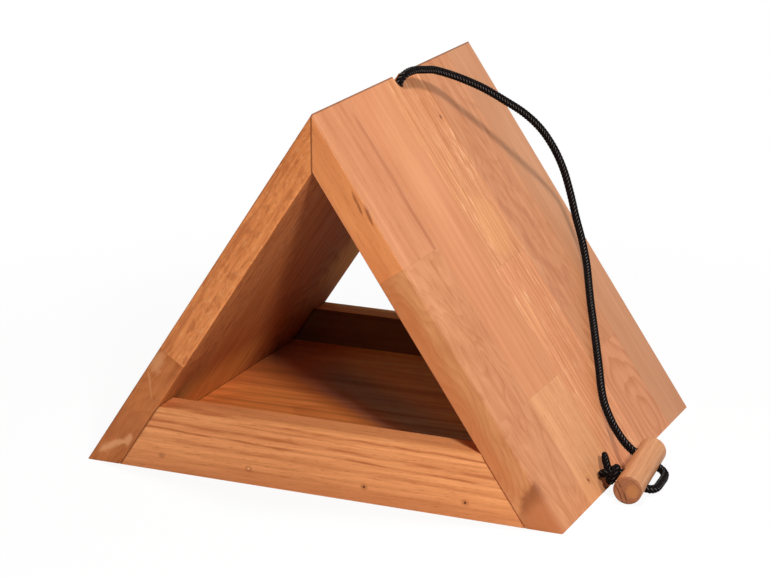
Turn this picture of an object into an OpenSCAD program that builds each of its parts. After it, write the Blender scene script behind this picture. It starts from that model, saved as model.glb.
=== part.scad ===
// Triangular bird feeder with a hanging cord.
//
// Two glued-up roof boards meet in a mitre at the ridge and stand on their bevelled
// lower ends. A floor and two lips between them make a tray for seed, and the
// feeder is open at the front and the back. A black braided cord comes up through
// a hole in the ridge and lies down the right-hand slope to a wooden toggle.
//
// Millimetres, +Z up, front towards -Y. The origin is under the middle of the
// house, on the surface that it stands on.

/* [Roof boards] */
// Length of a roof board down its outer face, from the ridge to the base
roof_slope = 290; // [270:1:320]
// Slope of the roof boards above level, in degrees
roof_pitch = 56; // [52:0.5:60]
// Thickness of a roof board
board_t = 20; // [16:0.5:24]
// Depth of the house from front to back
depth = 250; // [240:1:300]
// Radius of the eased edges at the front and the back of the roof boards
board_ease = 1.5; // [0.5:0.1:3]

/* [Staves] */
// Width of the hindmost stave of each board; the other four share what is left
back_stave_w = 40; // [30:0.5:50]
// Ridge to butt joint, right-hand board, first stave from the front
right_butt_1 = 107; // [60:1:200]
// Ridge to butt joint, right-hand board, second stave
right_butt_2 = 215; // [60:1:230]
// Ridge to butt joint, right-hand board, third stave
right_butt_3 = 138; // [60:1:200]
// Ridge to butt joint, right-hand board, fourth stave
right_butt_4 = 219; // [60:1:230]
// Ridge to butt joint, left-hand board, first stave from the front
left_butt_1 = 191; // [60:1:230]
// Ridge to butt joint, left-hand board, second stave
left_butt_2 = 118; // [60:1:200]
// Ridge to butt joint, left-hand board, third stave
left_butt_3 = 176; // [60:1:200]
// Ridge to butt joint, left-hand board, fourth stave
left_butt_4 = 92; // [60:1:200]

/* [Tray] */
// Height of the front and back lips
lip_h = 43; // [30:1:60]
// Thickness of the front and back lips
lip_t = 20; // [14:0.5:26]
// Radius of the rounded top edges of the lips
lip_round = 3; // [0.5:0.5:5]
// Thickness of the floor between the lips
floor_t = 18; // [12:0.5:24]

/* [Cord hole] */
// Diameter of the hole drilled down through the ridge
ridge_hole_d = 10; // [8.5:0.1:12]

/* [Toggle] */
// Diameter of the wooden toggle
toggle_d = 18; // [16:0.5:22]
// Length of the toggle
toggle_l = 75; // [65:1:90]
// Diameter of the two holes across the toggle
toggle_hole_d = 7; // [6.6:0.1:8]
// Distance between the two holes across the toggle
toggle_hole_gap = 38; // [30:1:46]
// Bevel at the two ends of the toggle
toggle_bevel = 1; // [0.5:0.1:2]

/* [Cord] */
// Diameter of the braided cord
cord_d = 5; // [4:0.1:5.4]
// Diameter of a stopper knot
knot_d = 14; // [12:0.5:16]
// Length of the cut tail that a knot leaves, from the middle of the knot
tail_l = 13; // [10:0.5:18]
// Play between the upper knot and the roof boards that it is drawn up against
knot_play = 0.3; // [0.2:0.1:1]

/* [Hidden] */
$fn = 64;

// Triangle of the house seen from the front
half_w = roof_slope * cos(roof_pitch);
ridge_z = roof_slope * sin(roof_pitch);
// What a board's thickness takes along the base and down the middle
base_t = board_t / sin(roof_pitch);
mitre_t = board_t / cos(roof_pitch);
inner_half_w = half_w - base_t;
inner_ridge_z = ridge_z - mitre_t;
// More than enough to cut right through, and staves that run past both ends
past = 2 * board_t;
above = -past;
below = roof_slope + past;
stave_count = 5;
stave_w = (depth - back_stave_w) / (stave_count - 1);
floor_count = 4;
floor_depth = depth - 2 * lip_t;
right_wood = ["#d08a58", "#c98455", "#d3925f", "#c07a4c", "#cb8857"];
left_wood = ["#c67f4e", "#cf8b5a", "#bf7848", "#d0905e", "#c88352"];
floor_wood = ["#b8703f", "#c27a48", "#ad6838", "#bb7544"];
lip_wood = "#cd8a55";
toggle_wood = "#cf8d5d";
cord_black = "#1b1b1d";

// Where the toggle lies: its middle, its turn about upright and its roll
toggle_at = [178, -27, toggle_d / 2];
toggle_turn = 6;
toggle_roll = 30;

// Stopper knots: a ball with a small flat where the cord comes in
knot_flat_z = sqrt(pow(knot_d / 2, 2) - pow(cord_d / 2 + 0.1, 2));
ridge_knot_z = inner_ridge_z - (knot_d / 2 + knot_play) / cos(roof_pitch);

// Route of the cord's middle line, chosen by hand. It climbs through the ridge,
// leans over on to the slope, comes down to lie on it, and goes through the toggle's
// far hole, round a small loop and back through the near hole.
cord_sides = 10;
cord_route = [
    [0, 0, ridge_knot_z + knot_flat_z],
    [0.1, -0.1, 208], [0.5, -0.5, 219], [1.2, -1, 227.5], [2, -1, 232.5],
    [3, 0, 236.7], [4.3, 2.7, 239.6], [5.1, 7, 241], [5.7, 12.8, 241.2],
    [6.6, 18.8, 240.9], [8.2, 26, 239.7], [11, 36, 238], [16, 47, 234],
    [23, 57, 229], [32, 71, 221], [42, 84, 211], [52, 97, 200],
    [60, 107, 188], [67, 114, 173.5], [73, 116, 159.5], [79, 113.5, 144.5],
    [84.5, 109.5, 130], [91, 104.5, 115.5], [98, 95, 102], [104, 83, 91.5],
    [110, 70.5, 82], [117, 57, 71.5], [124, 43, 61.5], [131, 29, 51],
    [136, 18.5, 43.5], [140.5, 11, 37], [146, 4.5, 31], [152, -1.4, 25.6],
    [158.5, -6, 20.3], [163.6, -8.3, 16.6], [168.4, -9, 13.4], [176, -8.1, 9],
    [180, -7.7, 6.8], [183.4, -7.5, 5.1], [186.8, -8.8, 3.8], [189.5, -12.2, 3],
    [190.8, -17.5, 2.7], [191.4, -24, 2.7], [191.8, -30, 2.7], [192, -35.8, 2.8],
    [191.2, -40.6, 3.2], [188.6, -44, 4.2], [184.4, -45.6, 6.5], [180, -45.9, 9.2],
    [177, -46.2, 11], [174.2, -46.4, 12.3], [171.9, -46.6, 12.9], [170.4, -46.6, 12.9]
];
toggle_knot_tail = [-6.5, 8, 8.5];

// ---- Roof boards ----

// Outline of the right-hand board seen from the front
module board_outline() {
    polygon([
        [0, ridge_z],
        [half_w, 0],
        [inner_half_w, 0],
        [0, inner_ridge_z]
    ]);
}

// What an eased edge takes off a corner at the origin whose sides run along +X and -Y
module eased_corner(radius) {
    difference() {
        translate([-radius, -radius])
            square(2 * radius);
        translate([radius, -radius])
            circle(radius);
    }
}

// Section of a stave across its grain: its outer face is at the top
module stave_section(width, front_edge, back_edge) {
    difference() {
        translate([0, -board_t])
            square([width, board_t]);
        if (front_edge) {
            eased_corner(board_ease);
            translate([0, -board_t])
                mirror([0, 1])
                    eased_corner(board_ease);
        }
        if (back_edge)
            translate([width, 0])
                mirror([1, 0]) {
                    eased_corner(board_ease);
                    translate([0, -board_t])
                        mirror([0, 1])
                            eased_corner(board_ease);
                }
    }
}

// A stave of the right-hand board, from one distance down the slope to another
module roof_stave(index, from_s, to_s) {
    front_y = -depth / 2 + (index - 1) * stave_w;
    width = index == stave_count ? back_stave_w : stave_w;
    difference() {
        intersection() {
            translate([0, front_y, ridge_z])
                rotate([0, roof_pitch, 0])
                    translate([from_s, 0, 0])
                        rotate([90, 0, 90])
                            linear_extrude(height = to_s - from_s)
                                stave_section(width, index == 1, index == stave_count);
            translate([0, depth / 2, 0])
                rotate([90, 0, 0])
                    linear_extrude(height = depth)
                        board_outline();
        }
        translate([0, 0, inner_ridge_z - past])
            cylinder(d = ridge_hole_d, h = mitre_t + 2 * past);
    }
}

module roof_right(index, from_s, to_s) {
    color(right_wood[index - 1])
        roof_stave(index, from_s, to_s);
}

module roof_left(index, from_s, to_s) {
    color(left_wood[index - 1])
        mirror([1, 0, 0])
            roof_stave(index, from_s, to_s);
}

module roof_right_stave_1_upper() { roof_right(1, above, right_butt_1); }
module roof_right_stave_1_lower() { roof_right(1, right_butt_1, below); }
module roof_right_stave_2_upper() { roof_right(2, above, right_butt_2); }
module roof_right_stave_2_lower() { roof_right(2, right_butt_2, below); }
module roof_right_stave_3_upper() { roof_right(3, above, right_butt_3); }
module roof_right_stave_3_lower() { roof_right(3, right_butt_3, below); }
module roof_right_stave_4_upper() { roof_right(4, above, right_butt_4); }
module roof_right_stave_4_lower() { roof_right(4, right_butt_4, below); }
module roof_right_stave_5() { roof_right(5, above, below); }
module roof_left_stave_1_upper() { roof_left(1, above, left_butt_1); }
module roof_left_stave_1_lower() { roof_left(1, left_butt_1, below); }
module roof_left_stave_2_upper() { roof_left(2, above, left_butt_2); }
module roof_left_stave_2_lower() { roof_left(2, left_butt_2, below); }
module roof_left_stave_3_upper() { roof_left(3, above, left_butt_3); }
module roof_left_stave_3_lower() { roof_left(3, left_butt_3, below); }
module roof_left_stave_4_upper() { roof_left(4, above, left_butt_4); }
module roof_left_stave_4_lower() { roof_left(4, left_butt_4, below); }
module roof_left_stave_5() { roof_left(5, above, below); }

// ---- Tray ----

// Room between the two roof boards up to a height, as seen from the front
module between_boards(height) {
    top_half_w = inner_half_w - height / tan(roof_pitch);
    polygon([
        [-inner_half_w, 0],
        [inner_half_w, 0],
        [top_half_w, height],
        [-top_half_w, height]
    ]);
}

// Section of a lip across its grain, outer face at the left
module lip_section() {
    difference() {
        square([lip_t, lip_h]);
        translate([0, lip_h])
            eased_corner(lip_round);
        translate([lip_t, lip_h])
            mirror([1, 0])
                eased_corner(lip_round / 2);
    }
}

// The lip at the front, its ends bevelled to the slope of the boards
module lip() {
    color(lip_wood)
        intersection() {
            translate([-half_w, -depth / 2, 0])
                rotate([90, 0, 90])
                    linear_extrude(height = 2 * half_w)
                        lip_section();
            rotate([90, 0, 0])
                linear_extrude(height = depth, center = true)
                    between_boards(lip_h);
        }
}

module front_lip() {
    lip();
}

module back_lip() {
    mirror([0, 1, 0])
        lip();
}

module floor_stave(index) {
    width = floor_depth / floor_count;
    color(floor_wood[index - 1])
        translate([0, -floor_depth / 2 + index * width, 0])
            rotate([90, 0, 0])
                linear_extrude(height = width)
                    between_boards(floor_t);
}

module floor_stave_1() { floor_stave(1); }
module floor_stave_2() { floor_stave(2); }
module floor_stave_3() { floor_stave(3); }
module floor_stave_4() { floor_stave(4); }

// ---- Cord, knots and toggle ----

function unit(v) = v / norm(v);

// Direction of a route at each of its points
function headings(route) = [
    for (i = [0 : len(route) - 1])
        unit(route[min(i + 1, len(route) - 1)] - route[max(i - 1, 0)])
];

// Sideways directions carried along the route without twisting
function carried(heading, i, side) =
    i == len(heading)
        ? []
        : let (now = unit(side - (side * heading[i]) * heading[i]))
            concat([now], carried(heading, i + 1, now));

// Round tube along a route, one ring to a point
module tube(route, d, sides) {
    heading = headings(route);
    across = carried(heading, 0, [1, 0, 0]);
    rings = len(route);
    points = [
        for (i = [0 : rings - 1])
            for (k = [0 : sides - 1])
                let (turn = 360 * k / sides)
                    route[i] + d / 2 * (
                        cos(turn) * across[i] + sin(turn) * cross(heading[i], across[i])
                    )
    ];
    walls = [
        for (i = [0 : rings - 2])
            for (k = [0 : sides - 1])
                let (a = i * sides + k, b = i * sides + (k + 1) % sides)
                    each [[a, a + sides, b], [b, a + sides, b + sides]]
    ];
    first_end = [for (k = [0 : sides - 1]) k];
    last_end = [for (k = [sides - 1 : -1 : 0]) (rings - 1) * sides + k];
    polyhedron(points, concat([first_end, last_end], walls));
}

// Turns what points up so that it points along v
module pointing(v) {
    rotate([0, acos(v[2] / norm(v)), atan2(v[1], v[0])])
        children();
}

// A stopper knot at the origin, the cord coming in along -entry, and its tail
module stopper_knot(entry, tail) {
    color(cord_black)
        union() {
            pointing(entry)
                intersection() {
                    sphere(d = knot_d);
                    translate([0, 0, knot_flat_z - knot_d])
                        cylinder(d = 2 * knot_d, h = knot_d);
                }
            pointing(tail)
                cylinder(d = cord_d, h = tail_l);
        }
}

module ridge_knot() {
    translate([0, 0, ridge_knot_z])
        stopper_knot([0, 0, 1], [0, 3, -4]);
}

module hanging_cord() {
    color(cord_black)
        tube(cord_route, cord_d, cord_sides);
}

module toggle() {
    end = toggle_l / 2;
    radius = toggle_d / 2;
    color(toggle_wood)
        translate(toggle_at)
            rotate([0, 0, toggle_turn])
                rotate([0, toggle_roll, 0])
                    difference() {
                        rotate([90, 0, 0])
                            rotate_extrude()
                                polygon([
                                    [0, -end],
                                    [radius - toggle_bevel, -end],
                                    [radius, -end + toggle_bevel],
                                    [radius, end - toggle_bevel],
                                    [radius - toggle_bevel, end],
                                    [0, end]
                                ]);
                        for (side = [-1, 1])
                            translate([-toggle_d, side * toggle_hole_gap / 2, 0])
                                rotate([0, 90, 0])
                                    cylinder(d = toggle_hole_d, h = 2 * toggle_d);
                    }
}

module toggle_knot() {
    cord_end = cord_route[len(cord_route) - 1];
    entry = unit(cord_route[len(cord_route) - 2] - cord_end);
    translate(cord_end - knot_flat_z * entry)
        stopper_knot(entry, toggle_knot_tail);
}

roof_right_stave_1_upper();
roof_right_stave_1_lower();
roof_right_stave_2_upper();
roof_right_stave_2_lower();
roof_right_stave_3_upper();
roof_right_stave_3_lower();
roof_right_stave_4_upper();
roof_right_stave_4_lower();
roof_right_stave_5();
roof_left_stave_1_upper();
roof_left_stave_1_lower();
roof_left_stave_2_upper();
roof_left_stave_2_lower();
roof_left_stave_3_upper();
roof_left_stave_3_lower();
roof_left_stave_4_upper();
roof_left_stave_4_lower();
roof_left_stave_5();
front_lip();
back_lip();
floor_stave_1();
floor_stave_2();
floor_stave_3();
floor_stave_4();
ridge_knot();
hanging_cord();
toggle();
toggle_knot();
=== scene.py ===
# %% [markdown]
# # A triangular bird feeder, dressed for its portrait
#
# The solids of the feeder come from the CAD model: two roof boards glued up from
# staves, two lips, a floor, a dowel toggle, and plain stand-ins for the cord and its
# two knots. This lesson gives them what a solid doesn't have: the growth rings and
# pores of oiled hardwood, a cord that is really braided, knots that are really tied,
# and the light of a white studio table.

# %% Load the packed model
from math import acos, cos, pi, radians, sin, tan

import bpy
import numpy as np
from mathutils import Matrix


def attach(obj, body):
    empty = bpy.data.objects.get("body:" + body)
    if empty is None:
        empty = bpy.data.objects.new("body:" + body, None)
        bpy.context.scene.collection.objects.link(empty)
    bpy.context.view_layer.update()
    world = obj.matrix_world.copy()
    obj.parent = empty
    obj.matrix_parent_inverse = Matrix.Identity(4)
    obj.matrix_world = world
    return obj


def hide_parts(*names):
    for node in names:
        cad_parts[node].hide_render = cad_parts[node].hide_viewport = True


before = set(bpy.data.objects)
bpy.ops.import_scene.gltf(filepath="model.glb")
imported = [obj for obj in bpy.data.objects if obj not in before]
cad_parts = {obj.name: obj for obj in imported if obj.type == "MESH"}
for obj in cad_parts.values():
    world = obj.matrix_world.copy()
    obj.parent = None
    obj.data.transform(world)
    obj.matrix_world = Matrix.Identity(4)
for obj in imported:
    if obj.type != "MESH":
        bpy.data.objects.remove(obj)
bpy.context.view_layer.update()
scene = bpy.context.scene

# %% [markdown]
# ## The camera
#
# A small house shows best from a little above and from one side, with its front, one
# roof slope and the inside in view. The camera is placed on a sphere about the point
# that it looks at. Its three axes are the columns of a matrix, which keeps the small
# tip of a hand-set tripod exact.

# %% Set the camera on its sphere
def add_object(name, data):
    """A new object in the scene, made of that data."""
    made = bpy.data.objects.new(name, data)
    scene.collection.objects.link(made)
    return made


def stand(made, right, up, back, place):
    """Puts an object at a place, its own three axes along the directions given."""
    matrix = np.eye(4)
    matrix[:3] = np.column_stack([right, up, back, place])
    made.matrix_world = Matrix(matrix)


turn, rise, tip = np.radians([23.8188, 16.5237, -0.1687])
camera_reach = 1.47112
looked_at = np.array([0.04755, -0.125, 0.1384])

towards_camera = np.array([
    sin(turn) * cos(rise), -cos(turn) * cos(rise),
    sin(rise),
])
level_right = np.array([cos(turn), sin(turn), 0.0])
level_up = np.cross(towards_camera, level_right)
camera_right = cos(tip) * level_right + sin(tip) * level_up
camera_up = -sin(tip) * level_right + cos(tip) * level_up
camera_place = looked_at + camera_reach * towards_camera

lens = bpy.data.cameras.new("camera")
lens.lens, lens.sensor_width, lens.sensor_fit = 115.608, 36.0, "HORIZONTAL"
lens.clip_start, lens.clip_end = 0.05, 60.0
camera = add_object("camera", lens)
stand(camera, camera_right, camera_up, towards_camera, camera_place)
scene.camera = camera
scene.view_settings.view_transform = "Standard"
print("camera at", np.round(camera_place, 3).tolist(), "metres")


# %% [markdown]
# ## Writing shader maths as sums
#
# A wood grain takes over a hundred nodes, and a wall of node calls can't be read.
# So one small class wraps a socket and gives it Python's operators: `rings * 3 + 1`
# adds the two Math nodes that it says. Every other node comes from one method, which
# sets the node's own settings before its sockets, because a setting can change which
# sockets a node has.

# %% A socket with operators
class Value:
    """A socket of a material that can be added, multiplied and compared."""

    def __init__(self, tree, socket):
        self.tree, self.socket = tree, socket

    def out(self, kind, output, settings=None, **sockets):
        """That output of a new node of that kind. Settings first, then values or links
        of sockets, whose names take _ for a space; _0, _1 or _2 stand for a place."""
        made = self.tree.nodes.new(kind)
        for name, value in (settings or {}).items():
            setattr(made, name, value)
        for name, value in sockets.items():
            place = name[1:] if name.startswith("_") else name.replace("_", " ")
            socket = made.inputs[int(place) if place.isdigit() else place]
            if isinstance(value, Value):
                self.tree.links.new(value.socket, socket)
            else:
                socket.default_value = value
        return Value(self.tree, made.outputs[output])

    def math(self, operation, *others):
        values = {f"_{i}": v for i, v in enumerate((self, *others))}
        return self.out("ShaderNodeMath", 0, {"operation": operation}, **values)

    def __add__(self, other): return self.math("ADD", other)
    def __sub__(self, other): return self.math("SUBTRACT", other)
    def __mul__(self, other): return self.math("MULTIPLY", other)
    def __truediv__(self, other): return self.math("DIVIDE", other)
    def __pow__(self, other): return self.math("POWER", other)
    def __abs__(self): return self.math("ABSOLUTE")
    __radd__, __rmul__ = __add__, __mul__

    def __rsub__(self, other):
        return self.out(
            "ShaderNodeMath", 0, {"operation": "SUBTRACT"}, _0=other, _1=self
        )

    def least(self, other): return self.math("MINIMUM", other)
    def most(self, other): return self.math("MAXIMUM", other)

    def step(self, low, high, start=0.0, end=1.0):
        """Smooth step from start, where self is low, to end, where it is high."""
        return self.out(
            "ShaderNodeMapRange", "Result", {"interpolation_type": "SMOOTHSTEP"},
            Value=self, From_Min=low, From_Max=high, To_Min=start, To_Max=end,
        )

    def window(self, opens, shuts):
        """Smooth steps up over the span opens and down again over the span shuts."""
        return self.step(*opens) * self.step(*reversed(shuts))

    def into(self, node, socket):
        """Links this to a named input socket of a node."""
        self.tree.links.new(self.socket, node.inputs[socket])


print("a Value can:", *(n.strip("_") for n, what in vars(Value).items() if callable(what)))

# %% [markdown]
# ## Turning numbers into pieces
#
# Every new piece is a set of arrays first: points, and faces that name them. The
# object stays at the origin, unturned, so that a pattern on object coordinates can't
# slide off it, and it rides on the feeder's one body.

# %% Make a piece from arrays
def make_piece(name, points, faces, material, loose):
    """A mesh object from an array of points and a list of faces. loose holds extra
    numbers for each point, kept as named attributes."""
    mesh = bpy.data.meshes.new(name)
    mesh.from_pydata(points.tolist(), [], faces)
    mesh.polygons.foreach_set("use_smooth", np.ones(len(faces), bool))
    for title, numbers in loose.items():
        layer = mesh.attributes.new(title, "FLOAT", "POINT")
        layer.data.foreach_set("value", np.asarray(numbers, np.float32))
    mesh.materials.append(material)
    mesh.update()
    piece = add_object(name, mesh)
    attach(piece, "root")
    return piece


def new_material(name):
    """An empty material, its shader, and a Value to start expressions from."""
    material = bpy.data.materials.new(name)
    material.use_nodes = True
    tree = material.node_tree
    shader = tree.nodes["Principled BSDF"]
    place = Value(tree, tree.nodes.new("ShaderNodeTexCoord").outputs["Object"])
    return material, shader, place


def blend(share, low, high, kind="MIX"):
    """The colour low where share is 0 and high where it is 1. Kind MULTIPLY gives
    low times high there instead."""
    low, high = (c if isinstance(c, Value) else (*c, 1) for c in (low, high))
    return share.out(
        "ShaderNodeMix", 2,
        {"data_type": "RGBA", "clamp_factor": True, "blend_type": kind},
        Factor=share, _6=low, _7=high,
    )


# %% [markdown]
# ## The line that the cord follows
#
# The feeder hangs from one cord: it comes up through the hole in the ridge from a
# knot inside, lies down the slope, goes through the toggle, back through its second
# hole and ends in another knot. The route is written as points, as a maker would pin
# a cord to a board, and a centripetal Catmull-Rom spline goes through every pin.
# Taking the square root of the gap between pins as its clock keeps it from
# overshooting where the pins stand close together.

# %% Pin out the route and smooth it
route_pins = np.array([
    [0, 0, 198.1], [0.1, -0.1, 208], [0.5, -0.5, 219], [1.2, -1, 227.5],
    [2, -1, 232.5], [3, 0, 236.7], [4.3, 2.7, 239.6], [5.1, 7, 241],
    [5.7, 12.8, 241.2], [6.6, 18.8, 240.9], [8.2, 26, 239.7], [11, 36, 238],
    [16, 47, 234], [23, 57, 229], [32, 71, 221], [42, 84, 211], [52, 97, 200],
    [60, 107, 188], [67, 114, 173.5], [73, 116, 159.5], [79, 113.5, 144.5],
    [84.5, 109.5, 130], [91, 104.5, 115.5], [98, 95, 102], [104, 83, 91.5],
    [110, 70.5, 82], [117, 57, 71.5], [124, 43, 61.5], [131, 29, 51],
    [136, 18.5, 43.5], [140.5, 11, 37], [146, 4.5, 31], [152, -1.4, 25.6],
    [158.5, -6, 20.3], [163.6, -8.3, 16.6], [168.4, -9, 13.4], [176, -8.1, 9],
    [180, -7.7, 6.8], [183.4, -7.5, 5.1], [186.8, -8.8, 3.8], [189.5, -12.2, 3],
    [190.8, -17.5, 2.7], [191.4, -24, 2.7], [191.8, -30, 2.7], [192, -35.8, 2.8],
    [191.2, -40.6, 3.2], [188.6, -44, 4.2], [184.4, -45.6, 6.5], [180, -45.9, 9.2],
    [177, -46.2, 11], [174.2, -46.4, 12.3], [171.9, -46.6, 12.9],
    [170.4, -46.6, 12.9],
]) / 1000


def gaps(line):
    """How far each point of a line is from the one before it."""
    return np.linalg.norm(np.diff(line, axis=0), axis=1)


def smooth_line(pins, spacing=0.0005, cuts=24):
    """A centripetal Catmull-Rom spline through the pins, at even steps of length.
    Between pins b and c, with clock times t from the square roots of the gaps, each
    of the cuts is a blend of blends of the four nearest pins."""
    pins = np.vstack([2 * pins[0] - pins[1], pins, 2 * pins[-1] - pins[-2]])
    clock = np.append(0, np.cumsum(np.sqrt(gaps(pins))))
    share = np.linspace(0, 1, cuts, endpoint=False)[None, :, None]
    a, b, c, d = (pins[i:len(pins) - 3 + i, None, :] for i in range(4))
    ta, tb, tc, td = (clock[i:len(pins) - 3 + i, None, None] for i in range(4))
    t = tb + share * (tc - tb)
    ab = ((tb - t) * a + (t - ta) * b) / (tb - ta)
    bc = ((tc - t) * b + (t - tb) * c) / (tc - tb)
    cd = ((td - t) * c + (t - tc) * d) / (td - tc)
    abc = ((tc - t) * ab + (t - ta) * bc) / (tc - ta)
    bcd = ((td - t) * bc + (t - tb) * cd) / (td - tb)
    line = ((tc - t) * abc + (t - tb) * bcd) / (tc - tb)
    return even_line(np.vstack([line.reshape(-1, 3), pins[-2]]), spacing)


def even_line(line, spacing):
    """The same line, at even steps of its own length."""
    along = np.append(0, np.cumsum(gaps(line)))
    steps = np.linspace(0, along[-1], max(2, round(along[-1] / spacing) + 1))
    return np.column_stack([np.interp(steps, along, line[:, i]) for i in range(3)])


def line_length(line):
    return float(gaps(line).sum())


cord_line = smooth_line(route_pins)


# %% [markdown]
# ## A round braid
#
# The real cord is a tube of sixteen flat strands, eight winding each way, each going
# over two and under two. Their crowns lie two and a half millimetres apart and catch
# the light one by one, so the strands are modelled. A strand is a small flat ellipse
# that is carried along a wavy helix. How far the helix stands from the cord's axis is
# a cosine of the crossings that it meets: over two, under two.

# %% Carry frames and strands along a line
def frames_along(line):
    """Tangent, normal and second normal at each station. Each normal is the one
    before it with what now lies along the tangent taken out: the least turning."""
    tangent = np.gradient(line, axis=0)
    tangent /= np.linalg.norm(tangent, axis=1, keepdims=True)
    normal = np.empty_like(line)
    normal[0] = np.cross(tangent[0], [0.3, 0.9, 0.2])
    for i, ahead in enumerate(tangent):   # each needs the one before it
        carried = normal[max(i - 1, 0)]
        carried = carried - carried @ ahead * ahead
        normal[i] = carried / np.linalg.norm(carried)
    return tangent, normal, np.cross(tangent, normal)


def skin(many, stations, sides):
    """The faces of closed tubes whose points come ring by ring, turning to the right
    about the way they run: walls first, then the two caps of each."""
    number = np.arange(many * stations * sides).reshape(many, stations, sides)
    ahead = np.roll(number, -1, axis=2)
    walls = np.stack([
        number[:, :-1], ahead[:, :-1], ahead[:, 1:], number[:, 1:]
    ], axis=-1).reshape(-1, 4)
    caps = np.concatenate([number[:, 0, ::-1], number[:, -1]])
    return walls.tolist() + caps.tolist()


def tubes(centres, first, second, wide, thick, sides):
    """Closed tubes round lines. centres is (tubes, stations, 3). Point j of a ring
    is centre + wide cos(a) first + thick sin(a) second, a = 2 pi (j + 1/4) / sides,
    which puts point 1 of five on the outward side."""
    turn = 2 * np.pi * (np.arange(sides) + 0.25) / sides
    rings = (
        centres[:, :, None, :]
        + (wide[..., None] * np.cos(turn))[..., None] * first[:, :, None, :]
        + (thick[..., None] * np.sin(turn))[..., None] * second[:, :, None, :]
    )
    return rings.reshape(-1, 3), skin(*centres.shape[:2], sides)


STAND, WEAVE = 0.00206, 0.00036           # a strand's distance from the axis, +- that
STRAND_WIDE, STRAND_THICK, STRAND_SIDES = 0.00072, 0.00035, 5        # half of each
CORE_RADIUS, CORE_SIDES = 0.00197, 10


def braid(line, shrink=None, spacing=0.00062, pitch=0.02, strands=8):
    """Sixteen strands and a core along a line. Strand k stands at the angle
    2 pi (k / 8 +- s / pitch) and meets a crossing every pitch / 16; its distance
    from the axis is STAND +- WEAVE cos(pi / 2 (crossing - 1/2 + 2 k)). lift is how
    high a strand's crown stands, 0 along its two sides, and tone how much painted
    highlight a strand takes: the first set takes it, the second set stays dark."""
    line = even_line(line, spacing)
    tangent, normal, side = frames_along(line)
    s = np.linspace(0, line_length(line), len(line))
    shrink = np.ones(len(s)) if shrink is None else shrink(s)
    k = np.arange(strands)[:, None]
    crossing = 2 * strands * s[None] / pitch
    swing = np.stack([
        np.cos(np.pi / 2 * (crossing - 0.5 + 2 * k)),
        -np.cos(np.pi / 2 * (2 * k - crossing - 0.5)),
    ])
    winding = np.array([1, -1])[:, None, None]
    angle = 2 * np.pi * (k[None] / strands + winding * s / pitch)
    out = (
        np.cos(angle)[..., None] * normal + np.sin(angle)[..., None] * side
    ).reshape(2 * strands, len(s), 3)
    distance = ((STAND + WEAVE * swing) * shrink).reshape(2 * strands, len(s))
    centres = line + distance[..., None] * out
    run = np.gradient(centres, axis=1)
    run /= np.linalg.norm(run, axis=2, keepdims=True)
    out = out - (out * run).sum(2, keepdims=True) * run
    out /= np.linalg.norm(out, axis=2, keepdims=True)
    scale = np.broadcast_to(shrink, distance.shape)
    points, faces = tubes(
        centres, np.cross(out, run), out, STRAND_WIDE * scale, STRAND_THICK * scale,
        STRAND_SIDES,
    )
    radius = CORE_RADIUS * shrink[None]
    core, core_faces = tubes(
        line[None], normal[None], side[None], radius, radius, CORE_SIDES
    )
    faces += [[i + len(points) for i in face] for face in core_faces]
    crown = np.arange(STRAND_SIDES) == 1
    lift = np.concatenate([
        ((swing.reshape(-1, 1) + 1) / 2 * crown).reshape(-1), np.zeros(len(core))
    ])
    uneven = np.arange(2 * strands) * 0.618 % 1
    shade = np.repeat([0.85, 0.0], strands) + 0.15 * uneven
    tone = np.concatenate([np.repeat(shade, len(s) * STRAND_SIDES), np.zeros(len(core))])
    return np.vstack([points, core]), faces, {"lift": lift, "tone": tone}, line


sample = braid(cord_line[:60])
print("a 30 mm sample of braid has", len(sample[1]), "faces")


# %% [markdown]
# ## Knots that are really tied
#
# An overhand knot drawn by hand never sits right. This one is tied as a real one is:
# a chain of points starts as a loose open trefoil, its two ends are pulled apart, the
# tail less than the standing end, and three rules are kept while it tightens: each
# link keeps its length, the line straightens itself a little, and no part comes
# nearer to another than the cord is thick.

# %% Tie an overhand knot by pulling it tight
def unit(vector):
    vector = np.asarray(vector, float)
    return vector / np.linalg.norm(vector)


def turn_about(axis, angle):
    """Rodrigues' formula: the matrix that turns by angle round an axis."""
    x, y, z = unit(axis)
    cross = np.array([[0, -z, y], [z, 0, -x], [-y, x, 0]])
    return np.eye(3) + sin(angle) * cross + (1 - cos(angle)) * cross @ cross


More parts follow.
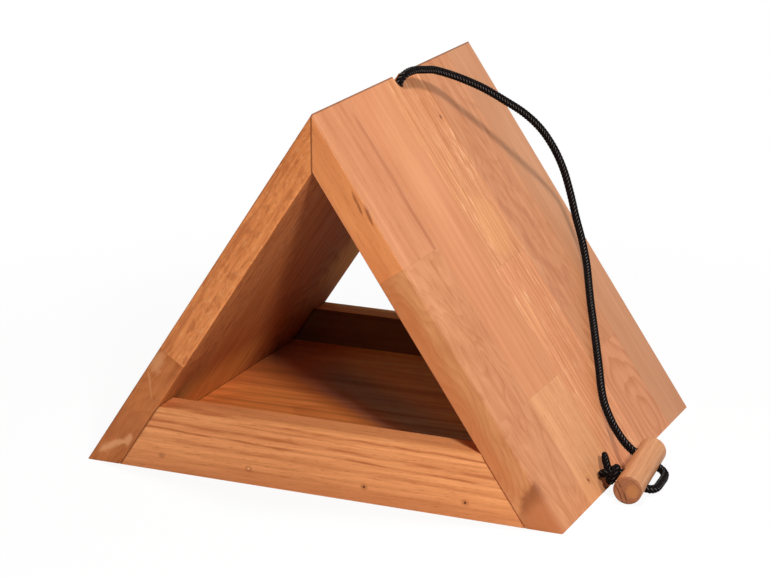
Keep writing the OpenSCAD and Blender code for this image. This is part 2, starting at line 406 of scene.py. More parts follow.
def tie_overhand(standing, tail, roll, place, tail_links, lead,
                 pulls=600, step=1.5, thick=4.6, end=12):
    """The centreline of an overhand knot round a place, from its tail to its standing
    end and on through the points of lead. Lengths go in as mm and come out as metres.
    It starts as the open left-handed trefoil (t^3 - 3t, t^4 - 4t^2, 10t - t^5), with
    a straight piece of cord at either end."""
    t = np.linspace(-2.12, 2.12, 2000)
    loose = np.column_stack([
        (t**3 - 3 * t) * 3.2, (t**4 - 4 * t**2) * 3.2, (10 * t - t**5) * 0.75
    ])
    loose = np.vstack([
        loose[0] + end * unit(loose[0] - loose[1]), loose,
        loose[-1] + end * unit(loose[-1] - loose[-2]),
    ])
    chain = even_line(loose, step)
    standing, tail = unit(standing), unit(tail)
    now, wanted = unit(chain[-1] - chain[0]), unit(standing - tail)
    angle = acos(np.clip(now @ wanted, -1, 1))
    lay_down = turn_about(np.cross(now, wanted), angle)
    chain = (chain - chain.mean(0)) @ lay_down.T @ turn_about(wanted, roll).T
    step = float(np.linalg.norm(chain[1] - chain[0]))
    count = len(chain)
    apart = np.abs(np.subtract.outer(np.arange(count), np.arange(count))) * step
    meets = apart > 1.7 * thick           # nearer along the cord, it only bends
    for _ in range(pulls):
        chain[-1] += 0.25 * standing
        chain[0] += 0.125 * tail
        chain[1:-1] += 0.25 * ((chain[:-2] + chain[2:]) / 2 - chain[1:-1])
        for _ in range(3):
            for first in (0, 1):          # even links, then odd links
                pairs = chain[first:first + (count - first) // 2 * 2].reshape(-1, 2, 3)
                link = pairs[:, 1] - pairs[:, 0]
                size = np.linalg.norm(link, axis=1, keepdims=True)
                mend = (size - step) / size * 0.5 * link
                pairs[:, 0] += mend
                pairs[:, 1] -= mend
            gap = chain[:, None] - chain[None]
            size = np.sqrt((gap**2).sum(-1)) + 1e-9
            push = np.where(meets & (size < thick), (thick - size) * 0.35 / size, 0)
            chain += (gap * push[..., None]).sum(1)
    size = np.linalg.norm(chain[:, None] - chain[None], axis=-1)
    held = np.where((meets & (size < thick * 1.08)).any(1))[0]
    knot = chain[held[0]:held[-1] + 1]
    middle = (knot.max(0) + knot.min(0)) / 2
    print("  knot of", round((held[-1] - held[0]) * step), "mm of cord, size",
          (np.ptp(knot, axis=0) + 5).round(1).tolist(), "mm")
    chain = (chain - middle)[held[0] - tail_links:held[-1]] + place
    return np.vstack([chain, lead]) / 1000


toggle_knot_line = tie_overhand(
    [1, 0, -0.02], [-6.4, 8.8, 8.3], radians(50), place=[165.3, -46.2, 11.9],
    tail_links=7, lead=[[173.4, -46.5, 12.4]],
)
ridge_knot_line = tie_overhand(
    [0, 0, 1], [0, 3, -4], radians(20), place=[0, 0, 190.9],
    tail_links=6, lead=[[0, 0, 200.5], [0, 0, 203]],
)


# %% [markdown]
# ## The cord's finish
#
# The cord is polyester, dyed black. What shows is its relief, and a painted highlight:
# the crowns of one set of strands are painted grey for the light they catch, and
# everything between them is black. It shows as small slanted ticks.

# %% A black braid material
def cord_finish():
    material, shader, place = new_material("braided_cord")
    lift = place.out("ShaderNodeAttribute", "Fac", {"attribute_name": "lift"})
    tone = place.out("ShaderNodeAttribute", "Fac", {"attribute_name": "tone"})
    fibre = place.out("ShaderNodeTexNoise", "Fac", Vector=place, Scale=900.0, Detail=3.0)
    # painted highlight: the raised crowns of the lighter set are painted grey for the light
    # they catch
    painted_glint = lift.step(0.5, 0.9) * tone * (fibre * 0.6 + 0.7)
    colour = blend(painted_glint, (0.0054, 0.0032, 0.0028), (0.17, 0.162, 0.155))
    shader.inputs["Specular IOR Level"].default_value = 0.03
    bump = place.out(
        "ShaderNodeBump", 0, Height=fibre, Strength=0.35, Distance=0.00012
    )
    colour.into(shader, "Base Color")
    (fibre * 0.2 + 0.55).into(shader, "Roughness")
    bump.into(shader, "Normal")
    return material


cord_material = cord_finish()
print("made", cord_material.name)


# %% [markdown]
# ## Cord and knots as pieces
#
# The cord and each knot are separate pieces, because a knot is thicker than a cord
# may be. The tails are cut and melted to a blunt point.

# %% Braid the cord and both knots
def tail_melts(s):
    """The cord is squeezed a little by the knot, and its tail's last 7 mm draw in to
    a quarter."""
    x = np.clip(s / 0.007, 0, 1)
    return 0.94 * (0.25 + 0.75 * np.sqrt(1 - (1 - x) ** 2))


points, faces, loose, followed = braid(cord_line)
cord = make_piece("hanging_cord_braid", points, faces, cord_material, loose)
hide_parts("hanging_cord")
for name, line, node in (
    ("ridge_knot_tied", ridge_knot_line, "ridge_knot"),
    ("toggle_knot_tied", toggle_knot_line, "toggle_knot"),
):
    points, faces, loose, _ = braid(smooth_line(line, 0.0004), tail_melts, 0.00045)
    loose["tone"] *= 0.5       # painted highlight at half strength on the knots
    knot = make_piece(name, points, faces, cord_material, loose)
    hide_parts(node)
    print(name, len(faces), "faces, size", np.ptp(points, axis=0).round(4).tolist())

# %% [markdown]
# ## Light, floor and air
#
# Two soft boxes light the feeder, one from the front right and one from above, a
# little behind it, which draws the cord's shadow on the slope. The white floor throws
# their light back up under the roof and on to the front. The air gives only a little
# light, but it is white to the camera and in reflections, and so is most of the floor,
# which keeps the background clean.

# %% Set up the lamps, the floor and the air
def soft_box(name, towards, reach, size, strength):
    """A round lamp that gives that strength at the feeder: 1 shows a colour as it is
    written. A lamp of P watts gives P / (pi reach)^2 of that."""
    lamp = bpy.data.lights.new(name, "AREA")
    lamp.shape, lamp.size = "DISK", size
    lamp.energy = strength * (pi * reach) ** 2
    made = add_object(name, lamp)
    back = unit(towards)
    across = unit(np.cross([0.0, 1.0, 0.001], back))
    stand(made, across, np.cross(back, across), back, lit_middle + reach * back)
    return made


lit_middle, lamp_reach = np.array([0.0, -0.02, 0.1]), 1.6
front_right_box = soft_box(
    "front_right_box", [0.581, -0.654, 0.484], lamp_reach, size=0.22, strength=0.7
)
soft_box("overhead_box", [0.12, 0.08, 1.0], lamp_reach, size=0.26, strength=0.68)

spared = bpy.data.collections.new("spared_by_the_front_box")
spared.objects.link(cord)
front_right_box.light_linking.blocker_collection = spared
spared.collection_objects[0].light_linking.link_state = "EXCLUDE"

floor_mesh = bpy.data.meshes.new("studio_floor")
floor_mesh.from_pydata([(-4, -4, 0), (4, -4, 0), (4, 4, 0), (-4, 4, 0)], [], [(0, 1, 2, 3)])
studio_floor = add_object("studio_floor", floor_mesh)

paper, paper_shader, point = new_material("white_paper")
paper_shader.inputs["Base Color"].default_value = (0.8, 0.8, 0.8, 1)
paper_shader.inputs["Roughness"].default_value = 1.0
paper_shader.inputs["Specular IOR Level"].default_value = 0.0
lit_paper = Value(point.tree, paper_shader.outputs[0])
seen = point.out("ShaderNodeLightPath", "Is Camera Ray")
distance = point.out(
    "ShaderNodeVectorMath", "Value", {"operation": "LENGTH"}, _0=point
)
glow = point.out("ShaderNodeEmission", 0, Color=(1, 1, 1, 1), Strength=1.0)
shaded = point.out("ShaderNodeBsdfDiffuse", 0, Color=(0.97, 0.97, 0.97, 1))
seen_paper = point.out(               # near the feeder a little of it takes shadow
    "ShaderNodeMixShader", 0, _0=distance.step(0.22, 0.6, 0.91, 1.0), _1=shaded, _2=glow
)
mixed = point.out("ShaderNodeMixShader", 0, _0=seen, _1=lit_paper, _2=seen_paper)
mixed.into(point.tree.nodes["Material Output"], "Surface")
floor_mesh.materials.append(paper)

air = bpy.data.worlds.new("studio_air")
air.use_nodes = True
sky = air.node_tree.nodes["Background"]
ray = air.node_tree.nodes.new("ShaderNodeLightPath")
direct, mirrored, passed = (
    Value(air.node_tree, ray.outputs[f"Is {kind} Ray"])
    for kind in ("Camera", "Glossy", "Transmission")
)
shining = 0.02                                  # what it adds to the lamps' light
(direct.most(mirrored).most(passed) * (1 - shining) + shining).into(sky, "Strength")
sky.inputs["Color"].default_value = (1, 1, 1, 1)
scene.world = air

# %% [markdown]
# ## Wood as a solid
#
# Wood isn't a picture on a surface. It is a stack of nearly round growth rings, and
# a board shows whatever its cut passes through: straight lines across the rings, and
# pointed arches along them. So the grain is worked out in the solid, in three lengths
# measured from the board itself: u along the grain, v across the board and w down
# into it. Faces, edges and ends of one board then agree by themselves.
#
# A ring's number is its distance from the pith, the tree's middle line, divided by
# the ring spacing. The distance also grows a little along the board, because trees
# taper, and that bends the lines into arches.

# %% Measure along and across a board
def along(place, direction, start=0.0):
    """How far a point lies in a direction from a start: a dot product."""
    spot = place.out(
        "ShaderNodeVectorMath", "Value", {"operation": "DOT_PRODUCT"},
        _0=place, _1=tuple(float(x) for x in direction),
    )
    return spot - start


def noise(u, v, w, long, fine, detail, seed, lean=0):
    """Soft noise from 0 to 1 with spots 1/long metres long and 1/fine wide. lean
    tips the streaks: how far they drift across for each metre along."""
    spot = u.out(
        "ShaderNodeCombineXYZ", 0,
        X=u * long + seed, Y=(v + u * lean) * fine + 1.7 * seed, Z=w * fine,
    )
    return u.out("ShaderNodeTexNoise", 0, Vector=spot, Scale=1.0, Detail=detail)


def patch(u, v, middle, size, soft=0.35):
    """A soft oval mask: 1 in its middle, 0 at size away from it, in u and v."""
    far = (((u - middle[0]) / size[0]) ** 2 + ((v - middle[1]) / size[1]) ** 2)
    return far.step(1.0, soft)


# %% [markdown]
# ## The three kinds of board
#
# Every board has its own grain frame: three directions and where they start. The
# roof boards' grain runs down the slope, as rain does, and the lips' and floor's from
# side to side. The frame also tells how far a stave's own mesh reaches in u, v and w.
# The thin dark lines of the glue joints are drawn there, so they can't miss a joint.

# %% Grain frames, and how far each stave reaches
pitch, toggle_turn = radians(56), radians(6)
slope_run, slope_fall = cos(pitch), sin(pitch)
ridge_z, half_width, half_depth, board_thick = 0.24042, 0.162166, 0.125, 0.02
x_axis, y_axis, z_axis = np.eye(3)
toggle_run = np.array([sin(toggle_turn), -cos(toggle_turn), 0])
toggle_side = np.cross(z_axis, toggle_run)
toggle_place = np.array([0.178, -0.027, 0.009])


def roof_frame(side):
    """u from the ridge down the slope, v from the front, w from the face inwards."""
    down = np.array([side * slope_run, 0, -slope_fall])
    inward = np.array([-side * slope_fall, 0, -slope_run])
    ridge = np.array([0, -half_depth, ridge_z])
    return [(axis, axis @ ridge) for axis in (down, y_axis, inward)]


lip_frame = [(x_axis, 0), (z_axis, 0), (y_axis, 0)]
floor_frame = [(x_axis, 0), (y_axis, 0), (z_axis, 0)]
toggle_frame = [(axis, axis @ toggle_place) for axis in (toggle_run, toggle_side, z_axis)]


def reach(node, grain_frame):
    """Lowest and highest u, v and w over a node's own vertices."""
    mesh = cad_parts[node].data
    points = np.empty(len(mesh.vertices) * 3, np.float32)
    mesh.vertices.foreach_get("co", points)
    points = points.reshape(-1, 3).astype(float)
    spans = [points @ direction - start for direction, start in grain_frame]
    return [(float(span.min()), float(span.max())) for span in spans]


spans = reach("roof_right_stave_2_upper", roof_frame(1))
print("stave 2 reaches", np.round(spans, 4).tolist())


# %% [markdown]
# ## From rings to colour
#
# Slow clouds give the board its uneven tan. Rings add the dark late wood, which
# builds up slowly and ends at once where the next spring's pale wood starts. Streaks
# and fibres are noise that is stretched along the grain, and pores are the highest
# peaks of a very fine one. The end grain drinks more oil, so faces that look along
# the grain are darker. All of it is one number, how dark, which picks a colour
# between a pale and a dark one, because real boards gain red as they darken.

# %% The wood of one stave
PALE, DARK = np.array([0.765, 0.285, 0.088]), np.array([0.4, 0.094, 0.018])
CLOUD, BEND = (7, 26, 2), (16, 34, 2)             # 1/length, 1/width, detail
FIBRE, PORE = (38, 900, 2), (170, 2300, 1)
SEAMS = {            # how wide a joint's dark line is, and how strong
    "u": (0.00045, 0.08), "v": (0.00045, 0.05), "mitre": (0.0008, 0.8),
    "wall": (0.0011, 0.8),
}


def seam_line(side, node, grain_frame, place, lengths):
    """The dark line along one joint. "u+" is the joint where u is greatest, "mitre"
    the one where the boards meet, "wall" where a lip or the floor meets a board,
    which is tighter on the right."""
    kind = side.rstrip("+-")
    width, strength = SEAMS[kind]
    if kind == "mitre":
        gap = abs(along(place, x_axis))
    elif kind == "wall":
        x, z = along(place, x_axis), along(place, z_axis)
        gap = (half_width - abs(x)) * slope_fall - z * slope_run - board_thick
        strength = x.step(-0.03, 0.03, 1.0, 0.1) * strength
    else:
        axis = "uvw".index(kind)
        low, high = reach(node, grain_frame)[axis]
        gap = lengths[axis] - low if side[1] == "-" else high - lengths[axis]
    return gap.step(width, width * 0.25) * strength


def wood(node, grain_frame, tone, seed, rings, *, pith=(0.1, 0.03, 0.2), taper=0.06,
         spacing=0.0035, late=0.15, clouds=0.35, streaks=0.35, fibres=0.3, pores=0.25,
         wander=0.5, streak_size=(9, 230), lean=0, joints=(), turned=(), marks=(),
         ends=(0.62, 0.55, 0.5), rough=0.42):
    """Fills a node with wood. Ring number = distance from the pith, in which u is
    counted taper times, over spacing, plus wander times a slow noise. turned lists
    directions, what the colour is multiplied by on faces that look that way, as
    painted light or shade, and how much rougher they are."""
    material, shader, place = new_material(node + "_wood")
    u, v, w = [along(place, direction, start) for direction, start in grain_frame]
    slow = noise(u, v, w, *CLOUD, seed)
    bend = noise(u, v, w, *BEND, seed + 3)
    far = (
        ((u - pith[0]) * taper) ** 2 + (v - pith[1]) ** 2 + (w - pith[2]) ** 2
    ) ** 0.5
    ring = (far / spacing + bend * (wander * 6)).math("FRACT")
    late_wood = ring.window((late, 0.86), (0.9, 1.0))
    streak = noise(u, v, w, *streak_size, 3.0, seed + 5, lean)
    fibre = noise(u, v, w, *FIBRE, seed + 7, lean)
    pore = noise(u, v, w, *PORE, seed + 9, lean).step(0.6, 0.74)
    dark = (                              # the noises lie round a half
        (slow - 0.5) * (clouds * 1.6) + late_wood * rings
        + (streak - 0.5) * (streaks * 2.4) + (fibre - 0.5) * (fibres * 1.6)
        + pore * pores + 0.22
    )
    pale_wood, dark_wood = PALE * tone, DARK * tone
    colour = blend(dark, pale_wood, dark_wood)
    facing = place.out("ShaderNodeTexCoord", "Normal")
    end = abs(along(facing, grain_frame[0][0])).step(0.45, 0.75)
    end_grain = blend(dark * 0.8 + ring * 0.2, pale_wood * ends, dark_wood * ends)
    colour = blend(end, colour, end_grain)
    for mark in marks:
        colour = mark(colour, u, v, w)
    rough = dark * 0.22 + rough
    # painted light and shade: faces that look one way get their colour multiplied
    for direction, factor, rougher in turned:
        looks_there = along(facing, unit(direction)).step(0.73, 0.97)
        colour = blend(looks_there, colour, factor, "MULTIPLY")
        rough = rough + looks_there * rougher
    line = pore * 0.0                     # no line yet
    for side in joints:
        line = line.most(seam_line(side, node, grain_frame, place, (u, v, w)))
    colour = blend(line, colour, dark_wood * 0.4)
    bump = place.out(
        "ShaderNodeBump", 0, Height=(fibre - 0.5) * 0.6 - pore - line * 2.0,
        Strength=0.35, Distance=0.00012,
    )
    shader.inputs["Specular IOR Level"].default_value = 0.2
    colour.into(shader, "Base Color")
    rough.least(0.95).most(0.25).into(shader, "Roughness")
    bump.into(shader, "Normal")
    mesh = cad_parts[node].data
    mesh.materials.clear()
    mesh.materials.append(material)


# %% [markdown]
# ## Dressing the staves
#
# A glued-up board is made from short offcuts, so no two neighbours match. Each stave
# gets its own tone, seed and rings. Many carry marks of their own, which take the
# colour made so far and give it back changed.

# %% Marks that single staves carry
FRONT = (0.01, 0.001)     # v over which a mark on the front edge comes up to full
BROWN = (0.42, 0.12, 0.04)
pin_height, pins_along = 0.0104, np.array([-0.1075, -0.046, 0.033, 0.0998])
roof_pin_y = -0.0595


def halos(*places):
    """Brown halos where pins have stained the wood."""
    def stained(colour, u, v, w):
        for middle in places:
            halo = patch(u, v, middle, (0.0032, 0.0026), 0.05)
            colour = blend(halo * 0.45, colour, (0.34, 0.085, 0.024))
        return colour
    return stained


def brown_streak(colour, u, v, w):
    """Stave 1: a brown streak along its inner edge, above its butt."""
    flow = noise(u, v, w, 22, 120, 2, 31)
    place = abs(v + (flow - 0.5) * 0.006 - 0.0478)
    band = place.step(0.0034, 0.001) * u.step(0.004, 0.02)
    return blend(band * (flow * 0.5 + 0.5) * 0.8, colour, (0.4, 0.125, 0.05))


def two_scars(colour, u, v, w):
    """The front edge: two short dark scars, which sink inwards."""
    sunk = w - u * 0.14
    scar = patch(u, sunk, (0.059, -0.0042), (0.009, 0.0013)).most(
        patch(u, sunk, (0.0685, -0.008), (0.008, 0.0012))
    )
    grit = noise(u, v, w, 120, 900, 1, 32).step(0.2, 0.5)
    return blend(scar * grit * v.step(*FRONT) * 0.7, colour, (0.21, 0.055, 0.016))


def redder_inside(colour, u, v, w):
    """The front edge: redder heartwood towards the inner face, lower down."""
    wave = noise(u, v, w, 26, 60, 2, 33) - 0.5
    deep = (w + wave * 0.016).step(0.003, 0.016) * u.window((0.06, 0.13), (0.235, 0.275))
    return blend(deep * v.step(*FRONT) * 0.55, colour, (0.5, 0.13, 0.036))


def burr_at_the_foot(colour, u, v, w):
    """The front edge: a dark curl round a small burr, and brown wood below."""
    wave = noise(u, v, w, 130, 170, 3, 34) - 0.5
    near = u - w * w * 45.0 - 0.253 + wave * 0.011
    far = u - w * w * 16.0 - 0.2665 + wave * 0.005
    rim = near.step(-0.002, 0.006) * far.step(0.004, -0.005)
    front = v.step(*FRONT)
    below = near.step(-0.003, 0.008) * front
    curl = rim * (wave * 1.6 + 0.8) * front
    colour = blend(below * 0.8, colour, (0.49, 0.16, 0.062))
    return blend(curl * 0.75, colour, (0.25, 0.075, 0.026))


def ray_flecks(colour, u, v, w):
    """Stave 3: bright threads and flecks, a pale patch, a fine line, a pin knot."""
    thread = noise(u, v, w, 15, 620, 2, 45).step(0.53, 0.66)
    strip = v.window((0.1015, 0.106), (0.12, 0.134)) * u.step(0.035, 0.075)
    colour = blend(thread * strip * 0.5, colour, (0.93, 0.48, 0.215))
    fleck = noise(u, v, w, 70, 720, 1, 41).step(0.55, 0.68)
    island = noise(u, v, w, 24, 90, 1, 43).step(0.44, 0.62)
    zone = (island * 0.6).most(patch(u, v, (0.062, 0.151), (0.024, 0.01)))
    pit = noise(u, v, w, 50, 620, 1, 44).step(0.55, 0.67)
    colour = blend(pit * zone * 0.6, colour, BROWN)
    colour = blend(fleck * zone * 0.7, colour, (1.0, 0.6, 0.33))
    pale = patch(u, v, (0.114, 0.134), (0.026, 0.019), 0.3)
    colour = blend(pale * 0.3, colour, (0.86, 0.41, 0.165))
    line = abs(v - 0.1362).step(0.0008, 0.0002) * u.window((0.04, 0.052), (0.22, 0.24))
    colour = blend(line * 0.45, colour, (0.4, 0.11, 0.034))
    pin_knot = (0.0367, 0.1507)
    colour = blend(patch(u, v, pin_knot, (0.0065, 0.003), 0.0) * 0.35, colour, BROWN)
    knot = patch(u, v, pin_knot, (0.0018, 0.0013), 0.25)
    return blend(knot * 0.9, colour, (0.13, 0.035, 0.014))


def brown_heart(colour, u, v, w):
    """Stave 4: brown clouds over its middle."""
    heart = patch(u, v, (0.13, 0.177), (0.11, 0.032), 0.1)
    cloud = noise(u, v, w, 50, 105, 3, 47).step(0.46, 0.64)
    return blend(heart * (cloud * 0.72 + 0.08), colour, (0.47, 0.165, 0.072))


def sapwood_marks(colour, u, v, w):
    """The left board's front edge, low: a pale patch, a pale thread across the edge,
    and a pale curved band near the foot."""
    front = v.step(*FRONT)
    wave = (noise(u, v, w, 170, 210, 3, 48) - 0.5) * 0.009
    top = patch(u + wave, w + wave, (0.2005, 0.004), (0.011, 0.006), 0.0)
    thread = abs(w - 0.0025 - (u - 0.209) * 0.76 + wave * 0.35).step(0.0016, 0.0002)
    thread = thread * u.window((0.208, 0.211), (0.214, 0.231))
    band = abs(u - 0.259 + (w - 0.0155).least(0.0) * 1.43 + wave * 1.1)
    band = band.step(0.0062, 0.0012) * w.window((0.002, 0.005), (0.0165, 0.019))
    brown = u.window((0.236, 0.242), (0.262, 0.268))
    colour = blend(brown * front * 0.3, colour, BROWN)
    pale = (top * 0.45).most(thread * 0.35).most(band * 0.68)
    return blend(pale * front, colour, (0.84, 0.4, 0.175))


def dashes(colour, u, v, w):
    """The left board's front edge, high: dark dashes near the outer face."""
    dash = noise(u, v, w, 45, 420, 3, 51).step(0.4, 0.62)
    band = w.window((0.001, 0.003), (0.0045, 0.007)) * u.step(0.012, 0.035)
    speck = noise(u, v, w, 130, 330, 2, 52).step(0.5, 0.64)
    fleck = noise(u, v, w, 230, 380, 2, 54).step(0.54, 0.7)
    colour = blend(fleck * 0.28, colour, (0.95, 0.46, 0.19))
    dark = (dash * band * 0.55).most(speck * 0.42)
    return blend(dark, colour, (0.4, 0.095, 0.026))


def late_lines(colour, place, shows, lines, tint):
    """Lines of dark late wood, each with the place where it lies, half its width and
    its strength. shows is how much of them comes through here."""
    for middle, half_wide, strength in lines:
        line = abs(place - middle).step(half_wide, half_wide * 0.15)
        colour = blend(line * shows * strength, colour, tint)
    return colour


def growth_lines(colour, u, v, w):
    """The lip: lines that fall a fiftieth to the right and waver a little, over wood
    that is browner along the bottom."""
    wave = (noise(u, v, w, 16, 60, 2, 61) - 0.5) * 0.0034
    shows = noise(u, v, w, 36, 300, 2, 62).step(0.34, 0.6, 0.25, 1.0)
    colour = blend(v.step(0.015, 0.0) * 0.4, colour, (0.6, 0.19, 0.068))
    return late_lines(colour, v + u * 0.0195 + wave, shows, (
        (0.0402, 0.0012, 0.75), (0.0364, 0.0009, 0.45), (0.0312, 0.0018, 0.72),
        (0.0264, 0.0011, 0.88), (0.02, 0.002, 0.4), (0.0085, 0.0014, 0.22),
    ), (0.47, 0.11, 0.028))


def tray_bands(colour, u, v, w):
    """The tray: bands across it that waver and thin out."""
    wave = (noise(u, v, w, 12, 45, 2, 63) - 0.5) * 0.01
    shows = noise(u, v, w, 20, 150, 2, 64).step(0.3, 0.58, 0.3, 1.0)
    return late_lines(colour, v + wave, shows, (
        (-0.04, 0.0022, 0.3), (-0.03, 0.0036, 0.52), (-0.013, 0.0022, 0.35),
        (0.006, 0.0026, 0.4), (0.033, 0.008, 0.5),
    ), (0.4, 0.1, 0.02))


def painted_light_inside(colour, u, v, w):
    """The left board's inner face: painted lighter and greyer above the tray and at
    the back, for the light that reaches it there."""
    inner = w.step(0.0165, 0.019) * v.step(0.0008, 0.004)
    low = u.step(0.205, 0.236) * v.step(0.165, 0.125)
    colour = blend(low * inner, colour, (1.38, 1.95, 1.9), "MULTIPLY")
    back = v.step(0.175, 0.215) * u.step(0.215, 0.18)
    return blend(back * inner, colour, (1.4, 1.75, 1.45), "MULTIPLY")


def painted_shadow_tint(colour, u, v, w):
    """The tray behind the slanting edge of the front lamp's shadow: painted greyer
    there, for the cool light in the shade.
    """
    # depth: how far behind the slanting edge of the front lamp's shadow on the tray
    depth = (v + half_depth) * 1.389 + u - 0.1259
    grey = blend(depth.step(0.04, 0.1), (0.72, 2.25, 8.0), (1.3, 3.0, 6.6))
    shaded = depth.step(-0.012, 0.034) * u.step(-0.1, -0.045, 0.25, 1.0)
    return blend(shaded, colour, grey, "MULTIPLY")


def dowel_cracks(colour, u, v, w):
    """The toggle's ends: two drying cracks beside the pith, in lighter wood."""
    end = abs(u).step(0.0355, 0.0372)
    grit = noise(u, v, w, 500, 500, 2, 53)
    across = v * 0.91 + w * 0.42 + (v * 0.42 - w * 0.91) ** 2 * 14.0
    long_one = abs(across + 0.0026).step(0.0007, 0.0002)
    short_one = abs(across + 0.0052).step(0.0006, 0.0002)
    inside_rim = (w * w + v * v).step(0.0088**2, 0.0078**2)
    crack = long_one.most(short_one) * grit.step(0.26, 0.46) * inside_rim
    light = patch(v, w, (0.0032, 0.0), (0.0052, 0.006), 0.1)
    colour = blend(light * end * 0.6, colour, (0.55, 0.215, 0.06))
    return blend(crack * end * 0.85, colour, (0.11, 0.032, 0.012))


# %% Every stave's own wood
right, left = roof_frame(1), roof_frame(-1)
roof_pin = ((ridge_z - pin_height) / slope_fall, roof_pin_y + half_depth)   # u and v
# painted light and shade on the eased edges: the outer one is painted darker, the groove of
# the inner one lighter
arris_light_and_shade = (     # the eased edges of the right board's front: outer, then inner
    ((slope_fall, -1.0, slope_run), (0.86, 0.82, 0.76), 0.0),
    ((-slope_fall, -1.0, -slope_run), (1.25, 1.25, 1.35), 0.3),
)
rays = dict(pith=(0.1, -0.5, 0), taper=0.02, streaks=0.46, fibres=0.32, pores=0.35,
            marks=(ray_flecks,))
# The tone, seed and rings of each stave, and what else is its own.
right_staves = {
    "1_upper": ((0.9, 1.02, 1.52), 1.3, 0.06, dict(
        clouds=0.55, streaks=0.36, fibres=0.2, pores=0.3, streak_size=(12, 130),
        # painted light: faces that look to the front get a redder, less blue colour than
        # the slope
        turned=(*arris_light_and_shade, ((0, -1, 0), (1.24, 1.06, 0.77), 0)),
        marks=(brown_streak, two_scars, redder_inside))),
    "1_lower": ((0.89, 1.03, 1.53), 2.1, 0.16, dict(
        pith=(0.2, 0.02, 0.03), taper=0.3, spacing=0.0034, wander=1.8, streaks=0.32,
        fibres=0.2, streak_size=(45, 130), marks=(redder_inside, burr_at_the_foot),
        # painted light: faces that look to the front get a redder, less blue colour than
        # the slope
        turned=(*arris_light_and_shade, ((0, -1, 0), (1.08, 1.02, 0.84), 0)))),
    "2_upper": ((0.92, 1.02, 1.48), 3.7, 0, dict(
        clouds=0.55, streaks=0.25, fibres=0.18, pores=0.15)),
    "2_lower": ((1.02, 1.29, 1.9), 4.4, 0.06, dict(
        clouds=0.25, streaks=0.22, fibres=0.4, pores=0.4, marks=(halos(roof_pin),))),
    "3_upper": ((0.95, 1.09, 1.55), 5.2, 0.12, dict(spacing=0.0042, **rays)),
    "3_lower": ((0.96, 1.05, 1.51), 6.8, 0.12, dict(spacing=0.004, **rays)),
    "4_upper": ((0.86, 1.0, 1.51), 7.5, 0.15, dict(
        pith=(0.3, 0.174, 0.006), taper=0.2, spacing=0.008, late=0.4, wander=1.1,
        streaks=0.3, fibres=0.2, pores=0.2, marks=(brown_heart,))),
    "4_lower": ((0.89, 1.0, 1.5), 8.9, 0.26, dict(
        pith=(0.272, 0.19, 0), taper=0.5, spacing=0.0072, late=0.3, wander=0.6,
        streaks=0.2, fibres=0.2, pores=0.15)),
    "5": ((0.8, 0.98, 1.54), 9.6, 0.02, dict(
        clouds=0.5, streaks=0.22, fibres=0.18, pores=0.12)),
}
left_staves = {
    "1_upper": ((1.11, 1.05, 1.03), 11.2, 0.12, dict(
        streaks=0.4, fibres=0.4, pores=0.35, streak_size=(30, 260), marks=(dashes,))),
    "1_lower": ((0.79, 0.68, 0.6), 12.9, 0.16, dict(
        pith=(0.3, 0.02, 0.03), taper=0.35, spacing=0.0045, wander=1.2, clouds=0.8,
        streaks=0.45, streak_size=(40, 260), marks=(sapwood_marks,))),
    "2_upper": ((0.95, 0.92, 0.9), 13.5, 0.15, {}),
    "2_lower": ((0.98, 0.95, 0.92), 14.1, 0.2, dict(pith=(0.3, 0.08, 0.03), taper=0.15)),
    "3_upper": ((1.0, 0.98, 0.96), 15.8, 0.12, dict(streak_size=(7, 380), streaks=0.5)),
    "3_lower": ((0.96, 0.94, 0.92), 16.4, 0.2, {}),
    "4_upper": ((1.02, 1.02, 1.02), 17, 0.1, {}),
    "4_lower": ((0.97, 0.95, 0.93), 18.3, 0.26, dict(
        pith=(0.268, 0.178, 0), taper=0.45, spacing=0.006, late=0.3)),
    "5": ((0.98, 0.96, 0.96), 19.9, 0.12, {}),
}
# painted shade: the left board's inner faces, which look into the dim inside, are painted
# darker and greyer
painted_inner_shade = {"1_upper": (0.62, 0.58, 0.53), "1_lower": (0.86, 0.88, 0.86)}
for half, (*_, own) in left_staves.items():
    own["turned"] = ((left[2][0], painted_inner_shade.get(half, (0.72, 0.64, 0.53)), 0.38),)
    own["marks"] = (*own.get("marks", ()), painted_light_inside)
plain_floor = ((1.15, 1.0, 0.8), 0.1, dict(streaks=0.3, fibres=0.15))
floor_staves = (
    ((1.38, 1.04, 0.72), 0.42, dict(
        pith=(-0.4, -0.3, -0.02), taper=0.1, spacing=0.006, late=0.3, streaks=0.8,
        wander=0.6, streak_size=(9, 120))),
    ((1.3, 1.2, 0.92), 0.2, dict(
        pith=(0.05, -0.03, -0.01), taper=0.18, spacing=0.006, late=0.3, streaks=0.4,
        wander=0.4)),
    plain_floor, plain_floor,
)
lip_rings = dict(taper=0.058, spacing=0.0059, late=0.4, wander=0.1, joints=("wall",))
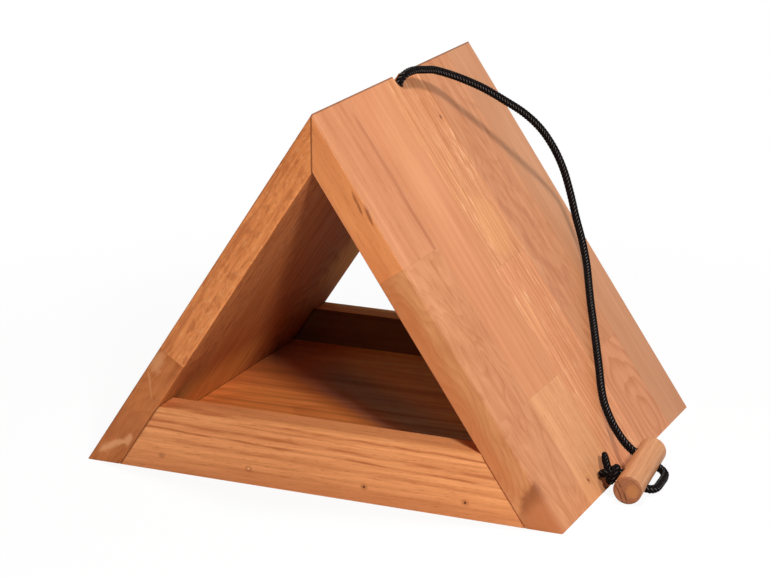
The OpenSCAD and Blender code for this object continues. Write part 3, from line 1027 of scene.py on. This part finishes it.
others = {
    "front_lip": (lip_frame, (1.23, 1.34, 1.58), 21, 0.1, dict(
        pith=(1, 0.197, -0.06), clouds=0.3, streaks=0.36, streak_size=(9, 420),
        # painted light: the lip's top face is painted lighter
        lean=-0.02, fibres=0.42, pores=0.4, turned=((z_axis, (1.2, 1.22, 1.22), 0.3),),
        marks=(growth_lines, halos(*[(x, pin_height) for x in pins_along])),
        **lip_rings)),
    "back_lip": (lip_frame, (0.4, 0.8, 1.7), 22, 0.14, dict(
        pith=(0.9, 0.1993, 0.06), streaks=0.25, fibres=0.15, streak_size=(6, 380),
        # painted light: the faces that look back and up are painted much lighter than the
        # inner face, for light from behind
        turned=((y_axis, (2.7, 1.45, 0.84), 0), (z_axis, (3.6, 2.7, 1.7), 0)),
        rough=0.75, **lip_rings)),
    "toggle": (toggle_frame, (0.83, 1.01, 1.41), 27, 0.14, dict(
        pith=(0, 0.0035, 0), taper=0, spacing=0.0021, wander=0.12, clouds=0.4,
        streaks=0.3, streak_size=(14, 420), fibres=0.35, pores=0.3,
        ends=(0.6, 0.51, 0.52), marks=(dowel_cracks,))),
}


def roof_joints(half):
    """The joints of a roof stave, from its number and half: with a neighbour in front
    (v-) and behind (v+), with its other half (u+ or u-), and the mitre on top."""
    number, _, place = half.partition("_")
    sides = ("v-",) * (number > "1") + ("v+",) * (number < "5")
    return sides + {"upper": ("u+", "mitre"), "lower": ("u-",), "": ("mitre",)}[place]


# %% Dress them all
for board, grain_frame, staves in (
    ("right", right, right_staves), ("left", left, left_staves),
):
    for half, (*look, own) in staves.items():
        node = f"roof_{board}_stave_{half}"
        wood(node, grain_frame, *look, joints=roof_joints(half), **own)
for node, (grain_frame, *look, own) in others.items():
    wood(node, grain_frame, *look, **own)
for number, (tone, rings, own) in enumerate(floor_staves, 1):
    wood(f"floor_stave_{number}", floor_frame, tone, 22 + number, rings, rough=0.8,
         joints=("v-", "v+", "wall"), marks=(tray_bands, painted_shadow_tint), **own)
print("dressed", len([*right_staves, *left_staves, *others, *floor_staves]), "pieces")

# %% [markdown]
# ## Pin heads
#
# The lips are pinned to the floor's edge and the roof boards to its ends, with thin
# steel pins driven in nearly flush. A head is a low dome: a profile of six radii and
# heights, turned round the pin's axis.

# %% Drive in the pins
def turned_heads(name, places, bright, outward, profile, material, sides=16):
    """Low domes at those places on a face. profile is (radius, height) from the
    shank's end up to the dome's middle, turned about the outward direction. bright
    says how little each head is stained, and is kept as an attribute."""
    outward = unit(outward)
    across = unit(np.cross(outward, [0.0, 0.3, 1.0]))
    up = np.cross(outward, across)
    turn = 2 * np.pi * np.arange(sides) / sides
    circle = np.cos(turn)[:, None] * across + np.sin(turn)[:, None] * up
    radius, height = np.array(profile).T
    shape = radius[:, None, None] * circle + height[:, None, None] * outward
    points = np.asarray(places)[:, None, None, :] + shape
    faces = skin(len(places), len(profile), sides)
    stains = {"bright": np.repeat(bright, len(profile) * sides)}
    return make_piece(name, points.reshape(-1, 3), faces, material, stains)


def steel_finish():
    material, shader, place = new_material("dull_steel")
    wear = place.out("ShaderNodeTexNoise", "Fac", Vector=place, Scale=2500.0, Detail=2.0)
    bright = place.out("ShaderNodeAttribute", "Fac", {"attribute_name": "bright"})
    colour = blend(wear, (0.12, 0.032, 0.011), (0.2, 0.058, 0.02))
    colour = blend(bright, colour, (0.95, 0.47, 0.2))
    colour.into(shader, "Base Color")
    (wear * 0.3 + 0.45).into(shader, "Roughness")
    shader.inputs["Specular IOR Level"].default_value = 0.1
    return material


dome = [(0.0005, -0.003), (0.0006, -0.0008), (0.0009, -0.0002), (0.0008, 0.00003),
        (0.0005, 0.00013), (0.00015, 0.00016)]
steel = steel_finish()
front_places = np.column_stack([
    pins_along, np.full(4, -half_depth), np.full(4, pin_height)
])
bright = [0.4, 1.0, 0.0, 0.0]
for name, turned, outward in (("front", 1, -y_axis), ("back", -1, y_axis)):
    turned_heads(f"{name}_lip_pins", front_places * [turned, turned, 1], bright, outward,
                 dome, steel)
for side, board in ((1, "right"), (-1, "left")):
    foot = side * (half_width - pin_height / tan(pitch))
    turned_heads(f"roof_{board}_pin", [[foot, roof_pin_y * side, pin_height]], [0.0],
                 [side * slope_fall, 0, slope_run], dome, steel)
print("pins:", 2 * len(pins_along) + 2)

# %% [markdown]
